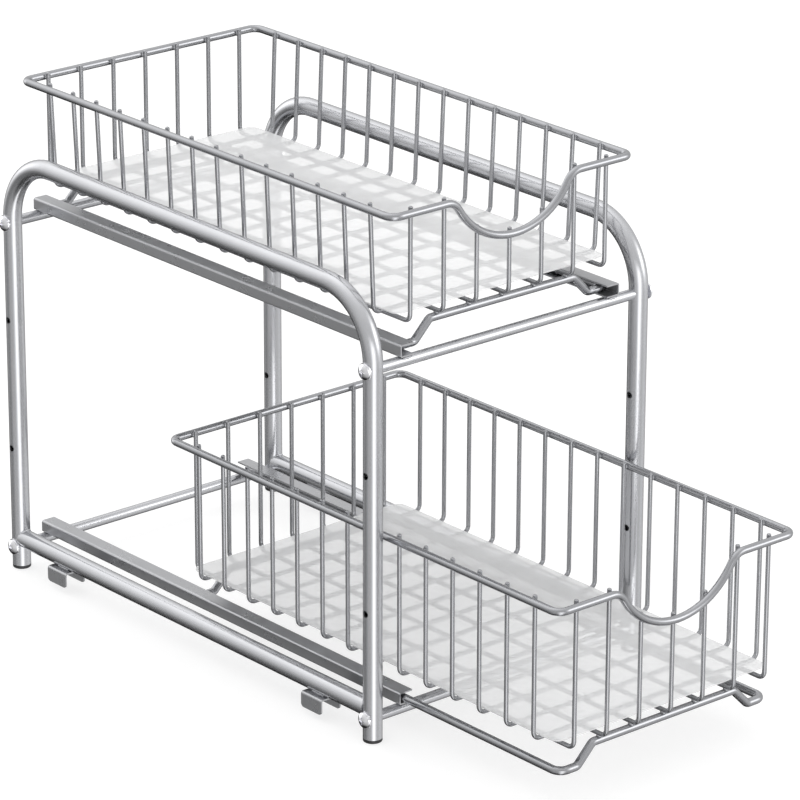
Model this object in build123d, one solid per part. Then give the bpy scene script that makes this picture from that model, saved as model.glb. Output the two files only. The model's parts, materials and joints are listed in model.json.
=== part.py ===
from build123d import *
from math import acos, cos, sqrt, tan
import os

os.makedirs("parts", exist_ok=True)

# A two-tier cabinet organiser: two wire baskets that slide out of a tube frame.
# Millimetres. The origin is on the floor, midway between the four feet. The baskets
# pull out towards -Y, +X is the user's right and +Z is up.

# ---- Side frames: a bent hoop and a straight rail on each side ----
leg_spacing = 265.0          # leg to leg across, centre to centre
leg_depth = 445.0            # leg to leg, front to back, centre to centre
hoop_top_z = 352.0           # centre of the hoop's top run
hoop_bend_r = 52.0           # centre-line radius of the hoop's two bends
tube_d = 15.0
tube_wall = 1.2
rail_z = 26.0                # centre of the straight rail near the floor
rail_notch = 3.0             # how deep the rail's ends cup the legs

# ---- Foot plugs ----
foot_h = 3.0                 # visible black sole under the tube
foot_edge_r = 1.2
foot_stem_h = 10.5
foot_rib_h = 1.6
foot_rib_depth = 0.5         # how far the ribs stand out of the stem

# ---- Cross bars, one front and one back for each tier ----
upper_bar_z = 297.0
lower_bar_z = 19.0
bar_d = 8.5
bar_wall = 0.9

# ---- Screws through the legs into the bars ----
screw_d = 5.0
screw_length = 28.0
screw_head_d = 12.0
screw_head_h = 3.1
screw_head_rim = 0.9         # height of the head's straight edge under the dome
recess_w = 1.3               # arms of the cross recess
recess_span = 6.4
recess_depth = 2.0
washer_d = 13.4
washer_t = 1.2
washer_seat = 0.4            # how far the dished washer wraps onto the round tube
washer_gap = 0.15            # radial gap between washer and screw
leg_hole_d = 5.4
insert_length = 12.0
insert_setback = 0.3         # insert face back from the leg's surface

# ---- Spare holes in the legs, where a tier can be moved to ----
height_hole_z = (105.0, 215.0)

# ---- Channels that carry the baskets ----
channel_half_x = 109.0       # web's outer face from the middle
channel_w = 12.5
channel_h = 10.0
channel_t = 1.2
channel_bend_r = 1.7
channel_overhang = 3.5       # past the bar's centre at each end

# ---- Saddle clips under the rails, which sit on another unit's top tube ----
clip_setback = 61.0          # clip's middle from the leg's centre
clip_length = 24.0
clip_t = 1.2
clip_play = 2.0              # slot wider than the tube
clip_leg_z = 6.0             # lower edge of the clip's legs
clip_bend_r = 1.8
clip_corner_r = 3.0

# ---- Baskets: what both have ----
rim_d = 6.0
rim_half_x = 118.0
rim_half_y = 225.0
rim_corner_r = 8.0
wire_d = 3.5
wire_bend_r = 6.0
wire_tip = 3.0               # wires end this far above the rim's centre
cross_wire_count = 14
cross_pitch = 30.0
long_wire_count = 7
long_pitch = 32.2
scoop_half_x = 66.0
scoop_depth = 36.5
scoop_shoulder_r = 14.0

# ---- Runner rod under each basket ----
runner_d = 6.5
runner_setback = 7.45        # end run's centre inside the upright wires' centre
runner_corner_r = 8.0
runner_rise = 15.0           # from the channels up to the basket's floor
kink_top_x = 71.5            # where the raised front and back runs end
kink_slope = 1.0             # rise over run of the kinks
kink_r = 5.0
running_gap = 0.3            # under the rod, in the channel
side_gap = 0.9               # between the rod and the channel's web

# ---- Liner on each basket's floor ----
liner_t = 1.0
liner_corner_r = 8.0
liner_side_lap = 2.2         # how far the liner's sides lie over the start of the wires' bend
liner_end_gap = 4.7          # from the liner's ends to the upright wires

# ---- Where the baskets stand, and how each one differs ----
closed_y = -1.5              # a closed basket's middle
lower_pull = 184.0           # the lower basket stands pulled out this far
upper_depth = 85.1           # rim centre above the centre of the lengthwise wires
lower_depth = 113.5
upper_draft = 3.4            # each side wall leans in this far from rim to floor
lower_draft = 0.3

weld_bite = 0.2              # how far welded wires and bars sink into each other
shortest_run = 0.0001        # a path's straight stretch under this is left out

# ---- Worked out from the sizes above ----
tube_r = tube_d / 2
leg_x = leg_spacing / 2
leg_y = leg_depth / 2
clip_offset_y = leg_y - clip_setback
bar_r = bar_d / 2
rim_r = rim_d / 2
wire_r = wire_d / 2
runner_r = runner_d / 2
insert_d = bar_d - 2 * bar_wall
channel_half_y = leg_y + channel_overhang
runner_half_x = channel_half_x - channel_t - side_gap - runner_r
wire_inset = rim_r + wire_r - weld_bite      # rim centre to wire centre
wall_x = rim_half_x - wire_inset
wall_y = rim_half_y - wire_inset
runner_half_y = wall_y - runner_setback
liner_half_y = wall_y - wire_r - liner_end_gap
sides = {"left": -1, "right": 1}
ends = {"front": -1, "rear": 1}


def save(name, *solids):
    """Write one node, made of one or more separate solids."""
    shape = solids[0] if len(solids) == 1 else Compound(children=list(solids))
    export_step(shape, f"parts/{name}.step")
    print(name, "solids", len(solids), "volume", round(sum(s.volume for s in solids), 1))


def bent_line(points, radii, closed=False):
    """Straight runs through the points, joined by tangent arcs of the given radii."""
    corners = [Vector(*p) for p in points]
    count = len(corners)
    bends = range(count) if closed else range(1, count - 1)
    start = {}
    finish = {}
    edges = []
    for i in bends:
        corner = corners[i]
        before = (corner - corners[i - 1]).normalized()
        after = (corners[(i + 1) % count] - corner).normalized()
        half_turn = acos(max(-1.0, min(1.0, before.dot(after)))) / 2
        radius = radii[i] if closed else radii[i - 1]
        reach = radius * tan(half_turn)
        middle = (after - before).normalized() * (radius / cos(half_turn) - radius)
        start[i] = corner - before * reach
        finish[i] = corner + after * reach
        edges.append(ThreePointArc(start[i], corner + middle, finish[i]))
    spans = range(count) if closed else range(count - 1)
    for i in spans:
        a = finish.get(i, corners[i])
        b = start.get((i + 1) % count, corners[(i + 1) % count])
        if (b - a).length > shortest_run:
            edges.append(Line(a, b))
    return Wire(Wire.combine(edges)[0].edges())


def round_bar(path, radius, bore=0.0):
    """A round rod or, with a bore, a tube, along a path."""
    section = Plane(origin=path @ 0, z_dir=path % 0)
    face = section * Circle(radius)
    if bore:
        face -= section * Circle(bore)
    return sweep(face, path=path).solid()


def rod_x(x0, x1, y, z, radius):
    """A plain cylinder along X."""
    centre = Pos((x0 + x1) / 2, y, z) * Rot(0, 90, 0)
    return centre * Cylinder(radius, abs(x1 - x0))


def hoop_path(x):
    """Centre line of the side tube at x: up one leg, along the top and down the other."""
    return bent_line(
        [(x, -leg_y, foot_h), (x, -leg_y, hoop_top_z), (x, leg_y, hoop_top_z), (x, leg_y, foot_h)],
        [hoop_bend_r, hoop_bend_r],
    )


# ---- Frame ----
def hoop(x):
    """Tube bent into an upside-down U, with its screw and height holes."""
    body = round_bar(hoop_path(x), tube_r, tube_r - tube_wall)
    for y in (-leg_y, leg_y):
        for z in (lower_bar_z, upper_bar_z, *height_hole_z):
            body -= rod_x(x - tube_d, x + tube_d, y, z, leg_hole_d / 2)
    return body.solid()


def rail_bar(x, radius):
    """Plain cylinder as long as the bottom rail at x."""
    length = leg_depth - 2 * (tube_r - rail_notch)
    return Pos(x, 0, rail_z) * Rot(90, 0, 0) * Cylinder(radius, length)


def bottom_rail(x):
    """Straight tube between the legs, its ends notched to cup them."""
    body = rail_bar(x, tube_r) - rail_bar(x, tube_r - tube_wall)
    body -= solid_hoop[x]
    return max(body.solids(), key=lambda s: s.volume)


def foot_plug(x, y):
    """Plug pushed into a leg: a sole as wide as the tube, a stem and two ribs."""
    bore_r = tube_r - tube_wall
    sole = Pos(x, y, foot_h / 2) * Cylinder(tube_r, foot_h)
    sole = fillet(sole.edges().sort_by(Axis.Z)[0], foot_edge_r)
    stem = Pos(x, y, foot_h + foot_stem_h / 2) * Cylinder(bore_r - foot_rib_depth, foot_stem_h)
    body = sole + stem
    for share in (1 / 3, 2 / 3):
        body += Pos(x, y, foot_h + share * foot_stem_h) * Cylinder(bore_r, foot_rib_h)
    return body.solid()


def cross_bar(y, z):
    """Bar between the side frames, hollow for the inserts and coped to the legs."""
    bar = rod_x(-leg_x, leg_x, y, z, bar_r) - rod_x(-leg_x, leg_x, y, z, insert_d / 2)
    bar -= solid_hoop[-leg_x]
    bar -= solid_hoop[leg_x]
    return max(bar.solids(), key=lambda s: s.volume)


def threaded_insert(side, y, z):
    """Bush pressed into one end of a cross bar."""
    face = leg_x - tube_r - insert_setback
    x0 = side * face
    x1 = side * (face - insert_length)
    return rod_x(x0, x1, y, z, insert_d / 2) - rod_x(x0, x1, y, z, screw_d / 2)


def dome_point():
    """Point halfway along the profile of the screw's domed head."""
    head_r = screw_head_d / 2
    rise = screw_head_h - screw_head_rim
    dome_r = (head_r**2 + rise**2) / (2 * rise)
    half_x = head_r / 2
    return (half_x, screw_head_h - dome_r + sqrt(dome_r**2 - half_x**2))


def screw(side, y, z):
    """Pan head machine screw with a cross recess, pointing at the middle."""
    seat = leg_x + tube_r - washer_seat + washer_t
    head_r = screw_head_d / 2
    dome = ThreePointArc((0, screw_head_h), dome_point(), (head_r, screw_head_rim))
    outline = Polyline(
        (head_r, screw_head_rim),
        (head_r, 0),
        (screw_d / 2, 0),
        (screw_d / 2, -screw_length),
        (0, -screw_length),
        (0, screw_head_h),
    )
    body = revolve(Plane.XZ * make_face(dome + outline), Axis.Z)
    for size in ((recess_span, recess_w), (recess_w, recess_span)):
        body -= Pos(0, 0, screw_head_h) * Box(*size, 2 * recess_depth)
    return (Pos(side * seat, y, z) * Rot(0, side * 90, 0) * body).solid()


def washer(side, y, z):
    """Dished washer between the screw's head and the round tube."""
    back = leg_x + tube_r - washer_seat
    x0 = side * back
    x1 = side * (back + washer_t)
    ring = rod_x(x0, x1, y, z, washer_d / 2) - rod_x(x0, x1, y, z, screw_d / 2 + washer_gap)
    ring -= solid_hoop[side * leg_x]
    ring -= rail_bar(side * leg_x, tube_r)
    return ring.solid()


def channel(side, bar_z):
    """Folded channel lying on the two bars of a tier, open towards the middle."""
    floor_z = bar_z + bar_r - weld_bite
    web = side * channel_half_x
    lip = side * (channel_half_x - channel_w)
    top = floor_z + channel_h
    inner_r = channel_bend_r - channel_t
    outer = bent_line(
        [(lip, 0, floor_z), (web, 0, floor_z), (web, 0, top), (lip, 0, top)],
        [channel_bend_r, channel_bend_r],
    )
    web_in = web - side * channel_t
    inner = bent_line(
        [
            (lip, 0, floor_z + channel_t),
            (web_in, 0, floor_z + channel_t),
            (web_in, 0, top - channel_t),
            (lip, 0, top - channel_t),
        ],
        [inner_r, inner_r],
    )
    closing = [
        Line((lip, 0, floor_z), (lip, 0, floor_z + channel_t)),
        Line((lip, 0, top), (lip, 0, top - channel_t)),
    ]
    section = make_face(Wire.combine(outer.edges() + inner.edges() + closing)[0])
    reach = Vector(0, channel_half_y, 0)
    return extrude(section, amount=channel_half_y, dir=reach, both=True).solid()


def saddle_clip(x, y):
    """Sheet bracket under a rail, an upside-down U that straddles a tube below."""
    half = tube_r + clip_play / 2 + clip_t
    top = rail_z - tube_r + weld_bite / 2
    height = top - clip_leg_z
    block = Pos(x, y, clip_leg_z + height / 2) * Box(2 * half, clip_length, height)
    shoulders = block.edges().filter_by(Axis.Y).group_by(Axis.Z)[-1]
    block = fillet(shoulders, clip_bend_r)
    slot_h = height - clip_t
    slot = Pos(x, y, clip_leg_z + slot_h / 2) * Box(2 * (half - clip_t), clip_length, slot_h)
    slot = fillet(slot.edges().filter_by(Axis.Y).group_by(Axis.Z)[-1], clip_bend_r - clip_t)
    body = block - slot
    corners = body.edges().filter_by(Axis.X).group_by(Axis.Z)[0]
    return fillet(corners, clip_corner_r).solid()


# ---- Baskets ----
class Tier:
    """Heights of one basket and of what carries it."""

    def __init__(self, name, bar_z, depth, draft, y):
        self.name = name
        self.y = y
        self.draft = draft
        self.runner_low = bar_z + bar_r - weld_bite + channel_t + running_gap + runner_r
        self.runner_high = self.runner_low + runner_rise
        self.long_z = self.runner_high + runner_r + wire_r - weld_bite
        self.cross_z = self.long_z + wire_d - weld_bite
        self.liner_z = self.cross_z + wire_r
        self.rim_z = self.long_z + depth
        self.floor_x = wall_x - draft


def scoop_bottom_r():
    """Radius of the scoop's big arc, tangent to the two shoulder arcs."""
    return (scoop_half_x**2 / scoop_depth + scoop_depth) / 2 - scoop_shoulder_r


def rim_height(tier, x):
    """Height of the front rim's centre at x."""
    big_r = scoop_bottom_r()
    bottom = tier.rim_z - scoop_depth
    joint_x = scoop_half_x * big_r / (big_r + scoop_shoulder_r)
    if abs(x) >= scoop_half_x:
        return tier.rim_z
    if abs(x) >= joint_x:
        over = scoop_half_x - abs(x)
        return tier.rim_z - scoop_shoulder_r + sqrt(scoop_shoulder_r**2 - over**2)
    return bottom + big_r - sqrt(big_r**2 - x**2)


def rim(tier):
    """Closed round rod with rounded corners and a hand scoop in the front."""
    big_r = scoop_bottom_r()
    tilt = acos((big_r - scoop_depth + scoop_shoulder_r) / (big_r + scoop_shoulder_r))
    shoulder_x = scoop_half_x - scoop_shoulder_r * tan(tilt / 2)
    front = tier.y - rim_half_y
    rear = tier.y + rim_half_y
    z = tier.rim_z
    path = bent_line(
        [
            (-rim_half_x, rear, z),
            (-rim_half_x, front, z),
            (-shoulder_x, front, z),
            (0, front, z - shoulder_x * tan(tilt)),
            (shoulder_x, front, z),
            (rim_half_x, front, z),
            (rim_half_x, rear, z),
        ],
        [rim_corner_r, rim_corner_r, scoop_shoulder_r, big_r, scoop_shoulder_r, rim_corner_r, rim_corner_r],
        closed=True,
    )
    return round_bar(path, rim_r)


def wire_ranks(count, pitch):
    """Even places, centred on zero."""
    return [(i - (count - 1) / 2) * pitch for i in range(count)]


def cross_wire_group(tier):
    """U-shaped wires from side rim to side rim, under the liner."""
    lean = tier.draft / (tier.rim_z - tier.cross_z)
    tip_z = tier.rim_z + wire_tip
    tip_x = wall_x + lean * wire_tip
    x = tier.floor_x
    path = bent_line(
        [(-tip_x, 0, tip_z), (-x, 0, tier.cross_z), (x, 0, tier.cross_z), (tip_x, 0, tip_z)],
        [wire_bend_r, wire_bend_r],
    )
    one = round_bar(path, wire_r)
    return [Pos(0, tier.y + y, 0) * one for y in wire_ranks(cross_wire_count, cross_pitch)]


def long_wire_group(tier):
    """U-shaped wires from front rim to back rim, under the cross wires."""
    group = []
    for x in wire_ranks(long_wire_count, long_pitch):
        front_tip = rim_height(tier, x) + wire_tip
        back_tip = tier.rim_z + wire_tip
        front = tier.y - wall_y
        back = tier.y + wall_y
        path = bent_line(
            [(x, front, front_tip), (x, front, tier.long_z), (x, back, tier.long_z), (x, back, back_tip)],
            [wire_bend_r, wire_bend_r],
        )
        group.append(round_bar(path, wire_r))
    return group


def runner(tier):
    """Closed rod: sides run in the channels, ends kink up under the floor wires."""
    low = tier.runner_low
    high = tier.runner_high
    foot_x = kink_top_x + runner_rise / kink_slope
    points = []
    radii = []
    for end in (-1, 1):
        y = tier.y + end * runner_half_y
        row = [(-runner_half_x, low), (-foot_x, low), (-kink_top_x, high)]
        row += [(-x, z) for x, z in reversed(row)]
        row = row if end < 0 else row[::-1]
        points += [(x, y, z) for x, z in row]
        radii += [runner_corner_r, kink_r, kink_r, kink_r, kink_r, runner_corner_r]
    return round_bar(bent_line(points, radii, closed=True), runner_r)


def liner(tier):
    """Flat translucent sheet resting on the cross wires."""
    half_x = tier.floor_x - wire_bend_r - wire_r + liner_side_lap
    sheet = Box(2 * half_x, 2 * liner_half_y, liner_t)
    sheet = fillet(sheet.edges().filter_by(Axis.Z), liner_corner_r)
    return (Pos(0, tier.y, tier.liner_z + liner_t / 2) * sheet).solid()


# ---- Build every piece ----
solid_hoop = {x: round_bar(hoop_path(x), tube_r) for x in (-leg_x, leg_x)}
for side_name, side in sides.items():
    x = side * leg_x
    save(f"{side_name}_hoop_tube", hoop(x))
    save(f"{side_name}_bottom_rail", bottom_rail(x))
    for end_name, end in ends.items():
        save(f"{end_name}_{side_name}_foot_plug", foot_plug(x, end * leg_y))
        save(f"{end_name}_{side_name}_saddle_clip", saddle_clip(x, end * clip_offset_y))

bar_heights = {"upper": upper_bar_z, "lower": lower_bar_z}
for tier_name, z in bar_heights.items():
    for end_name, end in ends.items():
        save(f"{tier_name}_{end_name}_cross_bar", cross_bar(end * leg_y, z))
    for side_name, side in sides.items():
        save(f"{tier_name}_{side_name}_channel", channel(side, z))

joints = [(end * leg_y, z) for z in bar_heights.values() for end in ends.values()]
for side_name, side in sides.items():
    save(f"{side_name}_screws", *[screw(side, y, z) for y, z in joints])
    save(f"{side_name}_washers", *[washer(side, y, z) for y, z in joints])
    save(f"{side_name}_threaded_inserts", *[threaded_insert(side, y, z) for y, z in joints])

tiers = [
    Tier("upper", upper_bar_z, upper_depth, upper_draft, closed_y),
    Tier("lower", lower_bar_z, lower_depth, lower_draft, closed_y - lower_pull),
]
for tier in tiers:
    save(f"{tier.name}_basket_rim", rim(tier))
    save(f"{tier.name}_basket_cross_wires", *cross_wire_group(tier))
    save(f"{tier.name}_basket_long_wires", *long_wire_group(tier))
    save(f"{tier.name}_basket_runner_rod", runner(tier))
    save(f"{tier.name}_basket_liner", liner(tier))
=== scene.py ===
# %% [markdown]
# # A two-tier pull out cabinet basket, dressed for a product picture
#
# The object is a rack of bent steel tube with two wire baskets that slide out of it.
# Its pieces arrive as a finished CAD model, in metres, with +Z up and the baskets
# pulling out towards -Y. This script never moves them. It gives each piece the finish
# of the real one, adds the small things that a weld or a press leaves behind, and
# lights the whole as a studio would.

# %% Load the frame
import json
import math

import bmesh
import bpy
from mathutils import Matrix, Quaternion, Vector


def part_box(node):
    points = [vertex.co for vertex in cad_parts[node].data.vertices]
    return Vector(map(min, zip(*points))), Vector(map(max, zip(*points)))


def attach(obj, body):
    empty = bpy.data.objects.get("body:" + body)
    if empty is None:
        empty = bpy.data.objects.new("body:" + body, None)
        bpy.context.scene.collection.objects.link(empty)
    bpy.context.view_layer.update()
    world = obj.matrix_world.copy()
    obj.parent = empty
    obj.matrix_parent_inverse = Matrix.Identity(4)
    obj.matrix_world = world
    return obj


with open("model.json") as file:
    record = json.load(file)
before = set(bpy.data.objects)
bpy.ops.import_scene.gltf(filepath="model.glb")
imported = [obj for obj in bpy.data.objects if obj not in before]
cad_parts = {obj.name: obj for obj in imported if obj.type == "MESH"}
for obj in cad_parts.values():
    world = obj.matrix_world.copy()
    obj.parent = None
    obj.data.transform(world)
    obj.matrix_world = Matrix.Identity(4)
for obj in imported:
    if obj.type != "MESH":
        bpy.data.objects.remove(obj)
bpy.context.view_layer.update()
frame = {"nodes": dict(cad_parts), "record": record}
nodes = frame["nodes"]
MM = 0.001


# %% [markdown]
# ## The camera
#
# The picture was taken from the front left and above, with a long lens, so the tubes
# hardly converge. A camera could be placed by eye, but fitting it to known points of the
# rack gave its place, angle and focal length, and those are written here as they are.

# %% Camera
CAMERA_PLACE = Vector((-2.2082, -2.6815, 1.4835))
CAMERA_AZIMUTH = math.radians(-40.52)
CAMERA_ELEVATION = math.radians(20.61)
CAMERA_ROLL = math.radians(0.18)
CAMERA_LENS = 211.7
CAMERA_SENSOR = 36.0


def towards(azimuth, elevation):
    """Unit vector from the object to a place round it; azimuth 0 is in front of the baskets."""
    level = math.cos(elevation)
    return Vector((math.sin(azimuth) * level, -math.cos(azimuth) * level, math.sin(elevation)))


def make_camera():
    """A camera that looks along the fitted direction, with its slight tilt to one side."""
    back = towards(CAMERA_AZIMUTH, CAMERA_ELEVATION)
    data = bpy.data.cameras.new("studio_camera")
    data.lens = CAMERA_LENS
    data.sensor_width = CAMERA_SENSOR
    data.clip_start = 0.1
    data.clip_end = 50
    camera = bpy.data.objects.new("studio_camera", data)
    camera.location = CAMERA_PLACE
    camera.rotation_mode = "QUATERNION"
    level = (-back).to_track_quat("-Z", "Y")
    camera.rotation_quaternion = level @ Quaternion((0, 0, 1), CAMERA_ROLL)
    bpy.context.scene.collection.objects.link(camera)
    bpy.context.scene.camera = camera
    return camera


camera = make_camera()
print(camera.name, round(CAMERA_PLACE.length, 3), "m from the origin")


# %% [markdown]
# ## Small helpers for node trees
#
# Every material, and every tree of Geometry Nodes, is a handful of nodes and links.
# Writing each link by hand hides what a tree does, so short helpers make a node with its
# values, join two sockets, open a group with named inputs and do a sum in one line.

# %% Node helpers
def add_node(tree, kind, values=None, **settings):
    """A node with its properties set, and its unlinked inputs given values by name or place."""
    node = tree.nodes.new(kind)
    for key, value in settings.items():
        setattr(node, key, value)
    for key, value in (values or {}).items():
        node.inputs[key].default_value = value
    return node


def link(tree, source, target):
    """Join an output socket to an input socket."""
    tree.links.new(source, target)


def open_group(name, kind, inputs, outputs):
    """A node group with named sockets, and the two nodes that stand for them inside."""
    tree = bpy.data.node_groups.new(name, kind)
    for label, socket_type, value in inputs:
        socket = tree.interface.new_socket(name=label, in_out="INPUT", socket_type=socket_type)
        if value is not None:
            socket.default_value = value
    for label, socket_type in outputs:
        tree.interface.new_socket(name=label, in_out="OUTPUT", socket_type=socket_type)
    return tree, tree.nodes.new("NodeGroupInput"), tree.nodes.new("NodeGroupOutput")


def math_node(tree, operation, a, b=None, clamp=False):
    """A Math node on sockets or plain numbers; returns its output."""
    node = add_node(tree, "ShaderNodeMath", operation=operation, use_clamp=clamp)
    for place, value in enumerate((a, b)):
        if value is None:
            continue
        if isinstance(value, (int, float)):
            node.inputs[place].default_value = value
        else:
            link(tree, value, node.inputs[place])
    return node.outputs[0]


print("node helpers ready")


# %% [markdown]
# ## Effects that several finishes share
#
# Sprayed metal paint is never one colour. Under a lamp it shows a very fine orange peel,
# flakes of metal that glint, and broad clouds where the coat is a little thicker. Each
# effect is a shader group that puts out a colour, a value or a height, so that every
# paint on the rack can use it with its own amount.

# %% Shared effect: orange peel
def build_orange_peel():
    """Height of a sprayed skin: soft cells, with a finer grain on top."""
    tree, given, result = open_group(
        "orange_peel",
        "ShaderNodeTree",
        [
            ("Place", "NodeSocketVector", None),
            ("Cells per Metre", "NodeSocketFloat", 600.0),
            ("Grain", "NodeSocketFloat", 0.35),
        ],
        [("Height", "NodeSocketFloat")],
    )
    cells = add_node(tree, "ShaderNodeTexNoise", {"Detail": 2.0, "Roughness": 0.5})
    link(tree, given.outputs["Place"], cells.inputs["Vector"])
    link(tree, given.outputs["Cells per Metre"], cells.inputs["Scale"])
    grain = add_node(tree, "ShaderNodeTexNoise", {"Detail": 1.0, "Roughness": 0.6})
    link(tree, given.outputs["Place"], grain.inputs["Vector"])
    finer = math_node(tree, "MULTIPLY", given.outputs["Cells per Metre"], 5.0)
    link(tree, finer, grain.inputs["Scale"])
    part = math_node(tree, "MULTIPLY", grain.outputs["Fac"], given.outputs["Grain"])
    link(tree, math_node(tree, "ADD", cells.outputs["Fac"], part), result.inputs["Height"])
    return tree


orange_peel = build_orange_peel()
print("group:", orange_peel.name)


# %% Shared effect: clouds
def build_clouds():
    """A value that drifts between two limits over the surface."""
    tree, given, result = open_group(
        "clouds",
        "ShaderNodeTree",
        [
            ("Place", "NodeSocketVector", None),
            ("Clouds per Metre", "NodeSocketFloat", 30.0),
            ("Low", "NodeSocketFloat", 0.0),
            ("High", "NodeSocketFloat", 1.0),
        ],
        [("Value", "NodeSocketFloat")],
    )
    noise = add_node(tree, "ShaderNodeTexNoise", {"Detail": 4.0, "Roughness": 0.55, "Distortion": 0.3})
    link(tree, given.outputs["Place"], noise.inputs["Vector"])
    link(tree, given.outputs["Clouds per Metre"], noise.inputs["Scale"])
    spread = add_node(tree, "ShaderNodeMapRange", {"From Min": 0.3, "From Max": 0.7})
    link(tree, noise.outputs["Fac"], spread.inputs["Value"])
    link(tree, given.outputs["Low"], spread.inputs["To Min"])
    link(tree, given.outputs["High"], spread.inputs["To Max"])
    link(tree, spread.outputs["Result"], result.inputs["Value"])
    return tree


clouds = build_clouds()
print("group:", clouds.name)


# %% Shared effect: metal flake
def build_metal_flake():
    """Tints a colour cell by cell, as flakes of metal in the paint do."""
    tree, given, result = open_group(
        "metal_flake",
        "ShaderNodeTree",
        [
            ("Place", "NodeSocketVector", None),
            ("Flakes per Metre", "NodeSocketFloat", 2500.0),
            ("Amount", "NodeSocketFloat", 0.1),
            ("Dark", "NodeSocketColor", (0.3, 0.3, 0.31, 1.0)),
            ("Light", "NodeSocketColor", (0.6, 0.6, 0.62, 1.0)),
            ("Drift", "NodeSocketFloat", 0.5),
        ],
        [("Colour", "NodeSocketColor")],
    )
    flakes = add_node(tree, "ShaderNodeTexVoronoi", feature="F1")
    link(tree, given.outputs["Place"], flakes.inputs["Vector"])
    link(tree, given.outputs["Flakes per Metre"], flakes.inputs["Scale"])
    shade = add_node(tree, "ShaderNodeSeparateColor")
    link(tree, flakes.outputs["Color"], shade.inputs["Color"])
    offset = math_node(tree, "SUBTRACT", shade.outputs[0], 0.5)
    glint = math_node(tree, "MULTIPLY", offset, given.outputs["Amount"])
    share = math_node(tree, "ADD", given.outputs["Drift"], glint, clamp=True)
    mix = add_node(tree, "ShaderNodeMix", data_type="RGBA")
    link(tree, share, mix.inputs[0])
    link(tree, given.outputs["Dark"], mix.inputs[6])
    link(tree, given.outputs["Light"], mix.inputs[7])
    link(tree, mix.outputs[2], result.inputs["Colour"])
    return tree


metal_flake = build_metal_flake()
print("group:", metal_flake.name)


# %% [markdown]
# ## Silver paint
#
# Tubes, wires and folded sheet are all sprayed with the same silver, but not alike: the tubes
# are the palest, the wires have a sharper shine and are made darker as painted shade, for
# the shade they sit in, and the sheet is the flattest. One function builds the paint, and
# each finish gives it its own values.
# The orange peel is about a millimetre and a half across and a few microns high, so it
# only softens the edge of a reflection and is never seen as a pattern.

# %% Paint finishes
def new_material(name):
    """An empty material with its output, its Principled shader and Object coordinates."""
    material = bpy.data.materials.new(name)
    material.use_nodes = True
    tree = material.node_tree
    shader = tree.nodes["Principled BSDF"]
    place = add_node(tree, "ShaderNodeTexCoord").outputs["Object"]
    return material, tree, shader, place


def use_group(tree, group, place, values):
    """A shader group placed in a material, fed with its coordinates."""
    node = add_node(tree, "ShaderNodeGroup", node_tree=group)
    link(tree, place, node.inputs["Place"])
    for key, value in values.items():
        node.inputs[key].default_value = value
    return node


def bump(tree, height, strength, distance):
    """A Bump node over a height; returns its normal."""
    node = add_node(tree, "ShaderNodeBump", {"Strength": strength, "Distance": distance})
    link(tree, height, node.inputs["Height"])
    return node.outputs["Normal"]


def silver_paint(name, dark, light, metallic, gloss, peel, coat):
    """Sprayed silver: flakes in the colour, clouds in the gloss, orange peel in the normal."""
    material, tree, shader, place = new_material(name)
    drift = use_group(tree, clouds, place, {"Clouds per Metre": 22.0, "Low": 0.25, "High": 0.75})
    flakes = use_group(
        tree,
        metal_flake,
        place,
        {"Flakes per Metre": 2600.0, "Amount": 0.4, "Dark": dark, "Light": light},
    )
    link(tree, drift.outputs["Value"], flakes.inputs["Drift"])
    link(tree, flakes.outputs["Colour"], shader.inputs["Base Color"])
    rough = use_group(tree, clouds, place, {"Clouds per Metre": 55.0, "Low": gloss[0], "High": gloss[1]})
    link(tree, rough.outputs["Value"], shader.inputs["Roughness"])
    skin = use_group(tree, orange_peel, place, {"Cells per Metre": 650.0, "Grain": 0.4})
    normal = bump(tree, skin.outputs["Height"], strength=peel, distance=0.05 * MM)
    link(tree, normal, shader.inputs["Normal"])
    shader.inputs["Metallic"].default_value = metallic
    shader.inputs["Coat Weight"].default_value = coat
    shader.inputs["Coat Roughness"].default_value = 0.12
    return material


tube_paint = silver_paint(
    "grey_tube_paint",
    dark=(0.53, 0.535, 0.555, 1),
    light=(0.58, 0.585, 0.605, 1),
    metallic=0.92,
    gloss=(0.2, 0.23),
    peel=0.12,
    coat=0.1,
)
# The wires take the tubes' silver made darker: painted shade standing in for the shade among the wires, not a
# different paint.
wire_paint_painted_shade = silver_paint(
    "grey_wire_paint",
    dark=(0.35, 0.354, 0.37, 1),
    light=(0.4, 0.405, 0.421, 1),
    metallic=0.92,
    gloss=(0.17, 0.2),
    peel=0.05,
    coat=0.1,
)
sheet_paint = silver_paint(
    "grey_sheet_paint",
    dark=(0.44, 0.443, 0.457, 1),
    light=(0.5, 0.505, 0.52, 1),
    metallic=0.85,
    gloss=(0.26, 0.31),
    peel=0.15,
    coat=0.0,
)
print("paints:", tube_paint.name, wire_paint_painted_shade.name, sheet_paint.name)


# %% [markdown]
# ## Chrome, zinc and rubber
#
# The screw heads and washers are chromed, and bright enough to mirror the studio. What
# keeps chrome from looking like glass is a faint haze in its gloss and the fine grain
# of the steel under it. The inserts are plain zinc, and the soles are moulded rubber
# with a dry grain.

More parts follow.
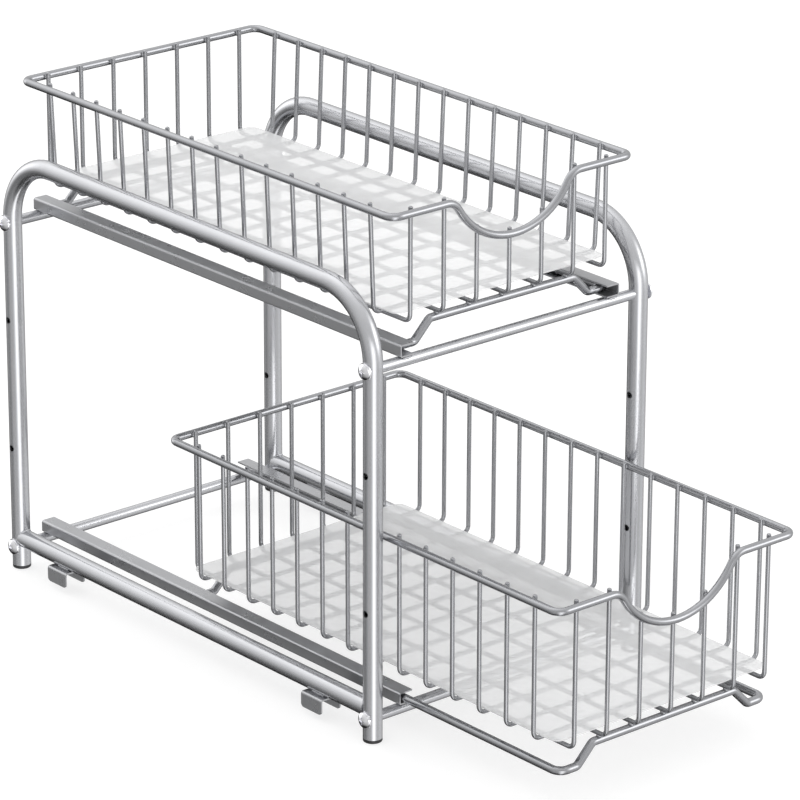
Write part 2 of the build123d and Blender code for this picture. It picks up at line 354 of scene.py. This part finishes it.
# %% Chrome
def make_chrome():
    """Bright plating over steel, with a fine grain and a little haze."""
    material, tree, shader, place = new_material("chrome_hardware")
    haze = use_group(tree, clouds, place, {"Clouds per Metre": 300.0, "Low": 0.05, "High": 0.11})
    link(tree, haze.outputs["Value"], shader.inputs["Roughness"])
    tint = use_group(
        tree,
        metal_flake,
        place,
        {
            "Flakes per Metre": 1500.0,
            "Amount": 0.3,
            "Dark": (0.82, 0.82, 0.84, 1),
            "Light": (0.92, 0.92, 0.94, 1),
        },
    )
    link(tree, tint.outputs["Colour"], shader.inputs["Base Color"])
    grain = use_group(tree, orange_peel, place, {"Cells per Metre": 1400.0, "Grain": 0.6})
    normal = bump(tree, grain.outputs["Height"], strength=0.08, distance=0.03 * MM)
    link(tree, normal, shader.inputs["Normal"])
    shader.inputs["Metallic"].default_value = 1.0
    return material


chrome = make_chrome()
print("material:", chrome.name)


# %% Zinc
def make_zinc():
    """Dull plating with the crystal patches that zinc has."""
    material, tree, shader, place = new_material("zinc_insert")
    tint = use_group(
        tree,
        metal_flake,
        place,
        {
            "Flakes per Metre": 700.0,
            "Amount": 0.9,
            "Dark": (0.42, 0.43, 0.45, 1),
            "Light": (0.62, 0.63, 0.64, 1),
        },
    )
    link(tree, tint.outputs["Colour"], shader.inputs["Base Color"])
    rough = use_group(tree, clouds, place, {"Clouds per Metre": 200.0, "Low": 0.35, "High": 0.5})
    link(tree, rough.outputs["Value"], shader.inputs["Roughness"])
    shader.inputs["Metallic"].default_value = 1.0
    return material


zinc = make_zinc()
print("material:", zinc.name)


# %% Rubber
def make_rubber():
    """Black moulded rubber, matt, with a dry grain and a grey bloom in patches."""
    material, tree, shader, place = new_material("black_rubber")
    bloom = use_group(tree, clouds, place, {"Clouds per Metre": 160.0, "Low": 0.0, "High": 1.0})
    mix = add_node(
        tree, "ShaderNodeMix", {6: (0.012, 0.012, 0.013, 1), 7: (0.03, 0.03, 0.032, 1)}, data_type="RGBA"
    )
    link(tree, bloom.outputs["Value"], mix.inputs[0])
    link(tree, mix.outputs[2], shader.inputs["Base Color"])
    rough = use_group(tree, clouds, place, {"Clouds per Metre": 400.0, "Low": 0.45, "High": 0.62})
    link(tree, rough.outputs["Value"], shader.inputs["Roughness"])
    grain = use_group(tree, orange_peel, place, {"Cells per Metre": 2200.0, "Grain": 0.8})
    normal = bump(tree, grain.outputs["Height"], strength=0.6, distance=0.06 * MM)
    link(tree, normal, shader.inputs["Normal"])
    return material


rubber = make_rubber()
print("material:", rubber.name)


# %% [markdown]
# ## The frosted liner
#
# Each basket's floor is a sheet of milky plastic, matt on both faces. It scatters most
# of the light, so it looks nearly white, and lets the rest through, so the wires under it
# show as faint grey lines. Rough transmission loses those lines, because light that
# enters such a thin sheet comes out in every direction. A partly see-through face keeps
# them: each face covers about half, so the two together leave a quarter of the view.

# %% Liner
def make_liner():
    """Milky, matt-faced plastic sheet with a fine moulded grain."""
    material, tree, shader, place = new_material("frosted_liner")
    milk = use_group(tree, clouds, place, {"Clouds per Metre": 14.0, "Low": 0.0, "High": 1.0})
    mix = add_node(
        tree, "ShaderNodeMix", {6: (0.93, 0.933, 0.937, 1), 7: (0.96, 0.963, 0.967, 1)}, data_type="RGBA"
    )
    link(tree, milk.outputs["Value"], mix.inputs[0])
    link(tree, mix.outputs[2], shader.inputs["Base Color"])
    rough = use_group(tree, clouds, place, {"Clouds per Metre": 90.0, "Low": 0.42, "High": 0.52})
    link(tree, rough.outputs["Value"], shader.inputs["Roughness"])
    grain = use_group(tree, orange_peel, place, {"Cells per Metre": 1200.0, "Grain": 0.7})
    normal = bump(tree, grain.outputs["Height"], strength=0.5, distance=0.05 * MM)
    link(tree, normal, shader.inputs["Normal"])
    veil = use_group(tree, clouds, place, {"Clouds per Metre": 26.0, "Low": 0.5, "High": 0.56})
    link(tree, veil.outputs["Value"], shader.inputs["Alpha"])
    shader.inputs["IOR"].default_value = 1.3
    return material


liner = make_liner()
print("material:", liner.name)


# %% [markdown]
# ## Dressing the CAD nodes
#
# The record says which finish each node takes, so no list of names is needed here: the
# slot named in the record picks the material.

# %% Finishes onto nodes
FINISHES = {
    "grey_tube_paint": tube_paint,
    "grey_wire_paint": wire_paint_painted_shade,
    "grey_sheet_paint": sheet_paint,
    "chrome_hardware": chrome,
    "zinc_insert": zinc,
    "black_rubber": rubber,
    "frosted_liner": liner,
}


def dress(node, material):
    """Give every material slot of a CAD node one finish."""
    if not node.material_slots:
        node.data.materials.append(material)
    for slot in node.material_slots:
        slot.material = material


for subpart in frame["record"]["subparts"]:
    dress(nodes[subpart["node"]], FINISHES[subpart["material_slot"]])


# %% [markdown]
# ## Where the wires are
#
# A wire basket is welded at every crossing, so the welds need the places of the wires.
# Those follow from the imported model: each group's box gives its first and last wire, and
# the count gives the rest. Only the rods' sizes, the counts, the height of the tips and
# the shape of the hand scoop have to be known beforehand.

# %% Places of the wires
WIRE_R = 1.75 * MM
RIM_R = 3.0 * MM
RUNNER_R = 3.25 * MM
TUBE_R = 7.5 * MM
CROSS_WIRES = 14
LONG_WIRES = 7
WIRE_TIP = 3.0 * MM
SCOOP_HALF = 66.0 * MM
SCOOP_DEPTH = 36.5 * MM
SCOOP_SHOULDER_R = 14.0 * MM
RAISED_HALF = 72.0 * MM


def ranks(low, high, count):
    """Even places from the first to the last, both ends included."""
    return [low + (high - low) * i / (count - 1) for i in range(count)]


class Basket:
    """Heights and rows of one basket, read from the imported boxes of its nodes."""

    def __init__(self, tier):
        self.body = f"{tier}_basket"
        rim_low, rim_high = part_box(f"{tier}_basket_rim")
        cross_low, cross_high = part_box(f"{tier}_basket_cross_wires")
        long_low, long_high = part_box(f"{tier}_basket_long_wires")
        runner_low, runner_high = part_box(f"{tier}_basket_runner_rod")
        self.rim_z = rim_high[2] - RIM_R
        self.cross_z = cross_low[2] + WIRE_R
        self.long_z = long_low[2] + WIRE_R
        self.runner_z = runner_high[2] - RUNNER_R
        self.tip_z = long_high[2]
        self.rows = ranks(cross_low[1] + WIRE_R, cross_high[1] - WIRE_R, CROSS_WIRES)
        self.columns = ranks(long_low[0] + WIRE_R, long_high[0] - WIRE_R, LONG_WIRES)
        self.rim_x = rim_high[0] - RIM_R
        self.rim_front = rim_low[1] + RIM_R
        self.rim_rear = rim_high[1] - RIM_R
        self.wall_front = long_low[1] + WIRE_R
        self.wall_rear = long_high[1] - WIRE_R
        self.wall_x = cross_high[0] - WIRE_R
        self.runner_front = runner_low[1] + RUNNER_R
        self.runner_rear = runner_high[1] - RUNNER_R

    def front_height(self, x):
        """Height of the front rim's centre at x, with the hand scoop in it."""
        big_r = (SCOOP_HALF**2 / SCOOP_DEPTH + SCOOP_DEPTH) / 2 - SCOOP_SHOULDER_R
        joint = SCOOP_HALF * big_r / (big_r + SCOOP_SHOULDER_R)
        if abs(x) >= SCOOP_HALF:
            return self.rim_z
        if abs(x) >= joint:
            over = SCOOP_HALF - abs(x)
            return self.rim_z - SCOOP_SHOULDER_R + math.sqrt(SCOOP_SHOULDER_R**2 - over**2)
        return self.rim_z - SCOOP_DEPTH + big_r - math.sqrt(big_r**2 - x**2)


baskets = [Basket("upper"), Basket("lower")]
for basket in baskets:
    print(basket.body, "rim at", round(basket.rim_z / MM, 1), "mm, rows", len(basket.rows))


# %% [markdown]
# ## Resistance welds
#
# Where two wires cross, the welding press squeezes them together and a flat lens of
# metal is pushed out between them. There are over a hundred a basket, so each kind is
# one tree of Geometry Nodes: it puts a small lens on every point of a mesh, turns its
# thin axis along the point's own direction, and varies its size a little with a fixed
# seed. The tree ends in real geometry with its paint on, because welds are sprayed over
# with the wires.

# %% Weld lens tree
def lens_sockets(material):
    """Named inputs of the lens tree, with the usual sizes."""
    return [
        ("Points", "NodeSocketGeometry", None),
        ("Radius", "NodeSocketFloat", 2.2 * MM),
        ("Thickness", "NodeSocketFloat", 1.1 * MM),
        ("Size Spread", "NodeSocketFloat", 0.12),
        ("Seed", "NodeSocketInt", 3),
        ("Paint", "NodeSocketMaterial", material),
    ]


def build_lens_tree():
    """Geometry Nodes: a small squeezed-out lens of metal on every point."""
    tree, given, result = open_group(
        "weld_lenses", "GeometryNodeTree", lens_sockets(wire_paint_painted_shade), [("Lenses", "NodeSocketGeometry")]
    )
    ball = add_node(tree, "GeometryNodeMeshUVSphere", {"Segments": 12, "Rings": 6, "Radius": 1.0})
    size = add_node(tree, "ShaderNodeCombineXYZ")
    link(tree, given.outputs["Radius"], size.inputs["X"])
    link(tree, given.outputs["Radius"], size.inputs["Y"])
    link(tree, given.outputs["Thickness"], size.inputs["Z"])
    squeeze = add_node(tree, "GeometryNodeTransform")
    link(tree, ball.outputs["Mesh"], squeeze.inputs["Geometry"])
    link(tree, size.outputs["Vector"], squeeze.inputs["Scale"])
    facing = add_node(tree, "GeometryNodeInputNamedAttribute", {"Name": "facing"}, data_type="FLOAT_VECTOR")
    turn = add_node(tree, "FunctionNodeAlignRotationToVector", axis="Z")
    link(tree, facing.outputs["Attribute"], turn.inputs["Vector"])
    spread = add_node(tree, "FunctionNodeRandomValue", data_type="FLOAT")
    link(tree, math_node(tree, "SUBTRACT", 1.0, given.outputs["Size Spread"]), spread.inputs[2])
    link(tree, math_node(tree, "ADD", 1.0, given.outputs["Size Spread"]), spread.inputs[3])
    link(tree, given.outputs["Seed"], spread.inputs["Seed"])
    place = add_node(tree, "GeometryNodeInstanceOnPoints")
    link(tree, given.outputs["Points"], place.inputs["Points"])
    link(tree, squeeze.outputs["Geometry"], place.inputs["Instance"])
    link(tree, turn.outputs["Rotation"], place.inputs["Rotation"])
    link(tree, spread.outputs[1], place.inputs["Scale"])
    real = add_node(tree, "GeometryNodeRealizeInstances")
    link(tree, place.outputs["Instances"], real.inputs["Geometry"])
    smooth = add_node(tree, "GeometryNodeSetShadeSmooth")
    link(tree, real.outputs["Geometry"], smooth.inputs["Geometry"])
    paint = add_node(tree, "GeometryNodeSetMaterial")
    link(tree, smooth.outputs["Geometry"], paint.inputs["Geometry"])
    link(tree, given.outputs["Paint"], paint.inputs["Material"])
    link(tree, paint.outputs["Geometry"], result.inputs["Lenses"])
    return tree


lens_tree = build_lens_tree()
print("tree:", lens_tree.name, "with", len(lens_tree.nodes), "nodes")


# %% Running a tree on a mesh
def socket_id(tree, name):
    """Identifier of a group's input, which is what a modifier's values go by."""
    return next(item.identifier for item in tree.interface.items_tree if item.name == name)


def plain_mesh(name, seed_mesh, tree, values):
    """Run a tree once on a mesh and keep only the plain mesh that it makes."""
    carrier = bpy.data.objects.new(name + "_points", seed_mesh)
    bpy.context.scene.collection.objects.link(carrier)
    modifier = carrier.modifiers.new("welds", "NODES")
    modifier.node_group = tree
    for key, value in values.items():
        modifier[socket_id(tree, key)] = value
    graph = bpy.context.evaluated_depsgraph_get()
    made = bpy.data.meshes.new_from_object(carrier.evaluated_get(graph), depsgraph=graph)
    carrier.modifiers.remove(modifier)
    bpy.data.objects.remove(carrier)
    made.name = name
    piece = bpy.data.objects.new(name, made)
    bpy.context.scene.collection.objects.link(piece)
    return piece


def points_mesh(name, spots):
    """A mesh of loose points, each with the direction that its weld faces."""
    mesh = bpy.data.meshes.new(name)
    mesh.from_pydata([spot for spot, _ in spots], [], [])
    facing = mesh.attributes.new("facing", "FLOAT_VECTOR", "POINT")
    for entry, (_, direction) in zip(facing.data, spots):
        entry.vector = direction
    return mesh


def finish_piece(piece, body):
    """Let a made piece ride on its body, and print its name and its count of faces."""
    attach(piece, body)
    print(piece.name, "faces", len(piece.data.polygons))


def lens_piece(basket, kind, spots, sizes):
    """Lenses on all the spots of one kind on a basket, as one piece that rides with it."""
    name = f"{basket.body}_{kind}"
    piece = plain_mesh(name, points_mesh(name, spots), lens_tree, sizes)
    finish_piece(piece, basket.body)


print("weld helpers ready")


# %% [markdown]
# ### Welds of the floor grid
#
# The cross wires lie on the lengthwise wires, so each crossing has its lens flat between
# them. The raised ends of the runner rod carry the lengthwise wires from below in the
# same way.

# %% Floor and runner welds
UP = Vector((0, 0, 1))
FLOOR_LENS = {"Radius": 2.3 * MM, "Thickness": 1.0 * MM}
RUNNER_LENS = {"Radius": 2.7 * MM, "Thickness": 1.3 * MM, "Seed": 8}


def floor_spots(basket):
    """Crossings of the floor grid."""
    z = (basket.cross_z + basket.long_z) / 2
    return [(Vector((x, y, z)), UP) for x in basket.columns for y in basket.rows]


def runner_spots(basket):
    """Crossings of the lengthwise wires and the runner rod's raised ends."""
    z = (basket.long_z - WIRE_R + basket.runner_z + RUNNER_R) / 2
    raised = [x for x in basket.columns if abs(x) < RAISED_HALF]
    return [(Vector((x, y, z)), UP) for x in raised for y in (basket.runner_front, basket.runner_rear)]


for basket in baskets:
    lens_piece(basket, "floor_welds", floor_spots(basket), FLOOR_LENS)
    lens_piece(basket, "runner_welds", runner_spots(basket), RUNNER_LENS)


# %% [markdown]
# ### Welds at the rim
#
# Each upright wire is welded to the inside of the rim and stands a little above its
# centre. The lens there is on edge: its thin axis points from the wire to the rim.

# %% Rim welds
RIM_LENS = {"Radius": 2.35 * MM, "Thickness": 1.1 * MM, "Seed": 5}


def rim_spots(basket):
    """Where the uprights meet the rim, on all four sides."""
    side_x = basket.rim_x - RIM_R
    front_y = basket.rim_front + RIM_R
    rear_y = basket.rim_rear - RIM_R
    spots = []
    for sign in (-1, 1):
        outwards = Vector((sign, 0, 0))
        spots.extend((Vector((sign * side_x, y, basket.rim_z)), outwards) for y in basket.rows)
    for x in basket.columns:
        spots.append((Vector((x, front_y, basket.front_height(x))), Vector((0, -1, 0))))
        spots.append((Vector((x, rear_y, basket.rim_z)), Vector((0, 1, 0))))
    return spots


for basket in baskets:
    lens_piece(basket, "rim_welds", rim_spots(basket), RIM_LENS)


# %% [markdown]
# ### Ground tips of the uprights
#
# The uprights are cut to length and their ends are ground round, so that nothing
# scratches a hand that reaches in. The same lens does for that: with the wire's own
# radius and lying flat on the cut, its upper half is the dome and its lower half is
# inside the wire.

# %% Wire tips
TIP_LENS = {"Radius": WIRE_R, "Thickness": 1.1 * MM, "Size Spread": 0.01}


def tip_spots(basket):
    """The cut ends of all the uprights of a basket."""
    spots = [(Vector((sign * basket.wall_x, y, basket.tip_z)), UP) for sign in (-1, 1) for y in basket.rows]
    for x in basket.columns:
        spots.append((Vector((x, basket.wall_front, basket.front_height(x) + WIRE_TIP)), UP))
        spots.append((Vector((x, basket.wall_rear, basket.tip_z)), UP))
    return spots


for basket in baskets:
    lens_piece(basket, "wire_tips", tip_spots(basket), TIP_LENS)


# %% [markdown]
# ## Weld beads of the frame
#
# The rails are welded into the legs, the channels onto the cross bars and the clips
# under the rails. A bead made by hand is a string of overlapping ripples that starts and
# ends thin. Another tree of Geometry Nodes draws it: the path is cut into short steps, a
# wave along its length gives the ripples, and a round profile is swept along it at that
# size. The beads were painted with the frame.

# %% Weld bead tree
BEAD_SWELL = 0.35  # the lower, the sooner a bead reaches its full girth
BEAD_END_SHARE = 0.25  # of the full girth, at a bead's two ends


def build_bead_tree():
    """Geometry Nodes: a rippled weld bead along every path."""
    tree, given, result = open_group(
        "weld_beads",
        "GeometryNodeTree",
        [
            ("Paths", "NodeSocketGeometry", None),
            ("Bead Radius", "NodeSocketFloat", 1.0 * MM),
            ("Ripple", "NodeSocketFloat", 0.14),
            ("Ripple Pitch", "NodeSocketFloat", 1.3 * MM),
            ("Step", "NodeSocketFloat", 0.3 * MM),
            ("Paint", "NodeSocketMaterial", tube_paint),
        ],
        [("Beads", "NodeSocketGeometry")],
    )
    curve = add_node(tree, "GeometryNodeMeshToCurve")
    link(tree, given.outputs["Paths"], curve.inputs["Mesh"])
    steps = add_node(tree, "GeometryNodeResampleCurve", mode="LENGTH")
    link(tree, curve.outputs["Curve"], steps.inputs["Curve"])
    link(tree, given.outputs["Step"], steps.inputs["Length"])
    along = add_node(tree, "GeometryNodeSplineParameter")
    turns = math_node(tree, "DIVIDE", along.outputs["Length"], given.outputs["Ripple Pitch"])
    wave = math_node(tree, "SINE", math_node(tree, "MULTIPLY", turns, 2 * math.pi))
    ripple = math_node(tree, "ADD", math_node(tree, "MULTIPLY", wave, given.outputs["Ripple"]), 1.0)
    rest = math_node(tree, "SUBTRACT", 1.0, along.outputs["Factor"])
    hump = math_node(tree, "MULTIPLY", math_node(tree, "MULTIPLY", along.outputs["Factor"], rest), 4.0)
    swell = math_node(tree, "POWER", hump, BEAD_SWELL)
    taper = math_node(tree, "MAXIMUM", swell, BEAD_END_SHARE)
    shape = math_node(tree, "MULTIPLY", ripple, taper)
    girth = math_node(tree, "MULTIPLY", shape, given.outputs["Bead Radius"])
    profile = add_node(tree, "GeometryNodeCurvePrimitiveCircle", {"Resolution": 10, "Radius": 1.0})
    swept = add_node(tree, "GeometryNodeCurveToMesh", {"Fill Caps": True})
    link(tree, steps.outputs["Curve"], swept.inputs["Curve"])
    link(tree, profile.outputs["Curve"], swept.inputs["Profile Curve"])
    link(tree, girth, swept.inputs["Scale"])
    real = add_node(tree, "GeometryNodeRealizeInstances")
    link(tree, swept.outputs["Mesh"], real.inputs["Geometry"])
    smooth = add_node(tree, "GeometryNodeSetShadeSmooth")
    link(tree, real.outputs["Geometry"], smooth.inputs["Geometry"])
    paint = add_node(tree, "GeometryNodeSetMaterial")
    link(tree, smooth.outputs["Geometry"], paint.inputs["Geometry"])
    link(tree, given.outputs["Paint"], paint.inputs["Material"])
    link(tree, paint.outputs["Geometry"], result.inputs["Beads"])
    return tree


bead_tree = build_bead_tree()
print("tree:", bead_tree.name, "with", len(bead_tree.nodes), "nodes")


# %% [markdown]
# ### Where the beads run
#
# A rail's end cups the leg, and its bead follows the line where the two round tubes
# meet, over the top only: below, the joint stays open. A channel's bead lies under its
# end, on the bar, and a clip has one on each side of the line where it touches the rail.

# %% Paths of the beads
BEAD_HALF_TURN = math.radians(52)
BEAD_STEPS = 14
CHANNEL_BEAD_HALF = 4.0 * MM
CHANNEL_BEAD_DROP = 1.0 * MM
CLIP_BEAD_HALF = 7.0 * MM
CLIP_BEAD_OUT = 3.0 * MM
CLIP_BEAD_RISE = 0.3 * MM


def rail_end_path(rail, end):
    """The top of the line where a rail meets its leg, at one end."""
    low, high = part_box(f"{rail}_bottom_rail")
    leg_low, leg_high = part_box(f"{rail}_hoop_tube")
    middle_x = (leg_low[0] + leg_high[0]) / 2
    middle_z = (low[2] + high[2]) / 2
    leg_y = leg_high[1] - TUBE_R
    path = []
    for i in range(BEAD_STEPS + 1):
        turn = BEAD_HALF_TURN * (2 * i / BEAD_STEPS - 1)
        rise = TUBE_R * math.cos(turn)
        path.append((middle_x + TUBE_R * math.sin(turn), end * (leg_y - rise), middle_z + rise))
    return path


def channel_path(channel, end):
    """A short line under one end of a channel, across the bar that carries it."""
    low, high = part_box(channel)
    middle_x = (low[0] + high[0]) / 2
    y = high[1] if end > 0 else low[1]
    z = low[2] - CHANNEL_BEAD_DROP
    return [(middle_x - CHANNEL_BEAD_HALF, y, z), (middle_x, y, z), (middle_x + CHANNEL_BEAD_HALF, y, z)]


def clip_paths(clip):
    """Two short lines, one on each side of a clip's contact with the rail."""
    low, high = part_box(clip)
    middle_x = (low[0] + high[0]) / 2
    middle_y = (low[1] + high[1]) / 2
    z = high[2] + CLIP_BEAD_RISE
    paths = []
    for x in (middle_x - CLIP_BEAD_OUT, middle_x + CLIP_BEAD_OUT):
        paths.append([(x, middle_y - CLIP_BEAD_HALF, z), (x, middle_y, z), (x, middle_y + CLIP_BEAD_HALF, z)])
    return paths


def paths_mesh(name, paths):
    """A mesh of open chains of edges, one for each path."""
    places = []
    edges = []
    for path in paths:
        first = len(places)
        places.extend(path)
        edges.extend((first + i, first + i + 1) for i in range(len(path) - 1))
    mesh = bpy.data.meshes.new(name)
    mesh.from_pydata(places, edges, [])
    return mesh


print("bead paths ready")


# %% Frame beads
RAIL_BEAD_R = 0.9 * MM
CHANNEL_BEAD_R = 0.9 * MM
CLIP_BEAD_R = 0.7 * MM
SIDES = ("left", "right")
ENDS = (-1, 1)
CHANNELS = [f"{tier}_{side}_channel" for tier in ("upper", "lower") for side in SIDES]
CLIPS = [f"{end_name}_{side}_saddle_clip" for end_name in ("front", "rear") for side in SIDES]

rail_paths = [rail_end_path(side, end) for side in SIDES for end in ENDS]
channel_paths = [channel_path(channel, end) for channel in CHANNELS for end in ENDS]
clip_lines = [path for clip in CLIPS for path in clip_paths(clip)]

for name, paths, radius in (
    ("frame_rail_beads", rail_paths, RAIL_BEAD_R),
    ("frame_channel_beads", channel_paths, CHANNEL_BEAD_R),
    ("frame_clip_beads", clip_lines, CLIP_BEAD_R),
):
    piece = plain_mesh(name, paths_mesh(name, paths), bead_tree, {"Bead Radius": radius})
    finish_piece(piece, "frame")
    print("largest side", round(max(piece.dimensions) / MM, 1), "mm")


# %% [markdown]
# ## The floor, the studio and the tone
#
# The picture is bright and almost shadowless, and the metal owes its look to what it
# mirrors: a tall strip and a round lamp in front, a bright ceiling and a window behind,
# a weak glow low on both sides, and darkness low behind the rack, which draws the thin
# dark edge on each tube. Lamps could give that, but a dome with these soft sources
# painted on it is easier to set. The floor is only for the camera: the metal sees the
# dome through it, as it would over a glass table. The Standard view keeps white white.

# %% Floor
FLOOR_HALF = 12.0
FLOOR_TONE = 0.34
FLOOR_PATCHINESS = 0.01
FLOOR_GLOW = 0.74
FLOOR_GAP = 0.2 * MM


def make_floor():
    """A plain pale floor, too wide for its edge to show, a hair under the soles."""
    material, tree, shader, place = new_material("studio_floor")
    tones = {"Clouds per Metre": 3.0, "Low": FLOOR_TONE - FLOOR_PATCHINESS, "High": FLOOR_TONE}
    patch = use_group(tree, clouds, place, tones)
    link(tree, patch.outputs["Value"], shader.inputs["Base Color"])
    shader.inputs["Roughness"].default_value = 0.9
    shader.inputs["Specular IOR Level"].default_value = 0.0
    shader.inputs["Emission Color"].default_value = (1.0, 1.0, 1.0, 1.0)
    shader.inputs["Emission Strength"].default_value = FLOOR_GLOW
    mesh = bpy.data.meshes.new("studio_floor")
    builder = bmesh.new()
    bmesh.ops.create_grid(builder, x_segments=8, y_segments=8, size=FLOOR_HALF)
    builder.to_mesh(mesh)
    builder.free()
    mesh.materials.append(material)
    floor = bpy.data.objects.new("studio_floor", mesh)
    floor.location.z = -FLOOR_GAP
    floor.visible_glossy = False
    floor.visible_diffuse = False
    floor.visible_shadow = False
    bpy.context.scene.collection.objects.link(floor)
    return floor


floor = make_floor()
print(floor.name, 2 * FLOOR_HALF, "m wide")


# %% Soft sources on the dome
def build_soft_source():
    """A world group: a round soft source painted on the dome."""
    tree, given, result = open_group(
        "soft_source",
        "ShaderNodeTree",
        [
            ("Direction", "NodeSocketVector", None),
            ("Aim", "NodeSocketVector", None),
            ("Tightness", "NodeSocketFloat", 10.0),
            ("Brightness", "NodeSocketFloat", 1.0),
        ],
        [("Light", "NodeSocketFloat")],
    )
    facing = add_node(tree, "ShaderNodeVectorMath", operation="DOT_PRODUCT")
    link(tree, given.outputs["Direction"], facing.inputs[0])
    link(tree, given.outputs["Aim"], facing.inputs[1])
    off = math_node(tree, "SUBTRACT", facing.outputs["Value"], 1.0)
    fall = math_node(tree, "EXPONENT", math_node(tree, "MULTIPLY", off, given.outputs["Tightness"]))
    link(tree, math_node(tree, "MULTIPLY", fall, given.outputs["Brightness"]), result.inputs["Light"])
    return tree


soft_source = build_soft_source()
print("group:", soft_source.name)


# %% Places and strengths of the sources
# Each source: its azimuth and elevation in degrees, how tight it is, and its brightness,
# which is below zero where the source takes light away.
ROUND_SOURCES = {
    "front_right": (42, 16, 26.0, 2.6),
    "ceiling_behind": (185, 52, 5.0, 0.8),
    "window_behind": (192, 5, 16.0, 1.5),
    "low_right": (56, -26, 3.0, 0.45),
    "low_left": (-78, -20, 6.0, 0.2),
    "dark_behind": (158, -26, 6.0, -0.6),
    "dark_left": (222, -22, 6.0, -0.18),
}
STRIP_AZIMUTH = -25
STRIP_TIGHTNESS = 16.0
STRIP_BRIGHTNESS = 1.8
STRIP_FADE_FROM = 0.05
STRIP_FADE_TO = 0.35
LEAST_LIGHT = 0.02
DOME_STEPS = (
    (0.0, 0.03),
    (0.08, 0.05),
    (0.15, 0.3),
    (0.3, 0.38),
    (0.42, 0.52),
    (0.55, 0.6),
    (0.75, 0.75),
    (0.88, 0.83),
    (1.0, 1.0),
)


def add_source(tree, direction, azimuth, elevation, tightness, brightness):
    """One soft source, aimed by its angles in degrees; returns its light."""
    source = add_node(tree, "ShaderNodeGroup", node_tree=soft_source)
    link(tree, direction, source.inputs["Direction"])
    source.inputs["Aim"].default_value = towards(math.radians(azimuth), math.radians(elevation))
    source.inputs["Tightness"].default_value = tightness
    source.inputs["Brightness"].default_value = brightness
    return source.outputs["Light"]


print("sources on the dome:", len(ROUND_SOURCES) + 1)


# %% The dome's own tone, and its strip
def dome_tone(tree, height):
    """The tone of the dome, which brightens upwards in steps."""
    ramp = add_node(tree, "ShaderNodeValToRGB")
    steps = ramp.color_ramp.elements
    while len(steps) < len(DOME_STEPS):
        steps.new(0.5)
    for step, (place, tone) in zip(steps, DOME_STEPS):
        step.position = place
        step.color = (tone, tone, tone, 1)
    raised = math_node(tree, "ADD", height, 1.0)
    link(tree, math_node(tree, "MULTIPLY", raised, 0.5), ramp.inputs[0])
    return ramp.outputs["Color"]


def tall_strip(tree, level):
    """A source that looks only at the compass, so it stands upright, and fades upwards."""
    flat = add_node(tree, "ShaderNodeCombineXYZ")
    link(tree, level.outputs["X"], flat.inputs["X"])
    link(tree, level.outputs["Y"], flat.inputs["Y"])
    compass = add_node(tree, "ShaderNodeVectorMath", operation="NORMALIZE")
    link(tree, flat.outputs["Vector"], compass.inputs[0])
    around = compass.outputs["Vector"]
    strip = add_source(tree, around, STRIP_AZIMUTH, 0, STRIP_TIGHTNESS, STRIP_BRIGHTNESS)
    reach = add_node(
        tree,
        "ShaderNodeMapRange",
        {"From Min": STRIP_FADE_FROM, "From Max": STRIP_FADE_TO, "To Min": 1.0, "To Max": 0.0},
        interpolation_type="SMOOTHSTEP",
    )
    link(tree, level.outputs["Z"], reach.inputs["Value"])
    return math_node(tree, "MULTIPLY", strip, reach.outputs["Result"])


print("dome steps:", len(DOME_STEPS))


# %% The dome
def make_world():
    """A dome that brightens upwards, with soft sources painted on it."""
    world = bpy.data.worlds.new("studio_dome")
    bpy.context.scene.world = world
    world.use_nodes = True
    tree = world.node_tree
    direction = add_node(tree, "ShaderNodeTexCoord").outputs["Generated"]
    level = add_node(tree, "ShaderNodeSeparateXYZ")
    link(tree, direction, level.inputs[0])
    total = dome_tone(tree, level.outputs["Z"])
    for azimuth, elevation, tightness, brightness in ROUND_SOURCES.values():
        light = add_source(tree, direction, azimuth, elevation, tightness, brightness)
        total = math_node(tree, "ADD", total, light)
    total = math_node(tree, "ADD", total, tall_strip(tree, level))
    shade = tree.nodes["Background"]
    link(tree, math_node(tree, "MAXIMUM", total, LEAST_LIGHT), shade.inputs["Color"])
    world.cycles.sampling_method = "NONE"
    return world


world = make_world()
bpy.context.scene.view_settings.view_transform = "Standard"
print("world:", world.name)
